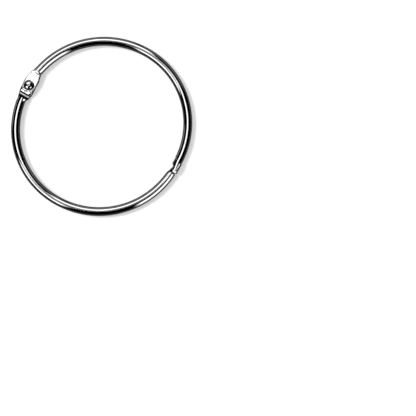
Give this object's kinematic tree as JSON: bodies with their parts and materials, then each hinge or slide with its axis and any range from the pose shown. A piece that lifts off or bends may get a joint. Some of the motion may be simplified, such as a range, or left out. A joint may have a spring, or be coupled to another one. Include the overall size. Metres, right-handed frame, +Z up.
{
  "type": "binder ring",
  "caption": "Hinged loose-leaf binder ring of rolled steel tube that opens at a snap catch to take punched sheets and closes round them.",
  "frame": {"origin": "centre of the closed ring's bounding box, on the surface the ring lies on", "axes": "+X from the hinge to the catch, +Z up along the ring's own axis, +Y towards the half that carries the tongue"},
  "size_m": [0.0838, 0.0858, 0.0042],
  "materials": {
    "plated_tube": "bright nickel plate over rolled steel strip",
    "plated_rivet": "bright nickel plate with worn edges"
  },
  "bodies": {
    "hook_side": {"hook_half": "plated_tube", "hinge_rivet": "plated_rivet"},
    "tongue_side": {"tongue_half": "plated_tube"}
  },
  "joints": [
    {"name": "ring_hinge", "type": "hinge", "parent": "hook_side", "child": "tongue_side", "pos_m": [-0.03905, 0, 0.0021], "axis": [0, 0, 1], "range_deg": [0, 115]}
  ]
}
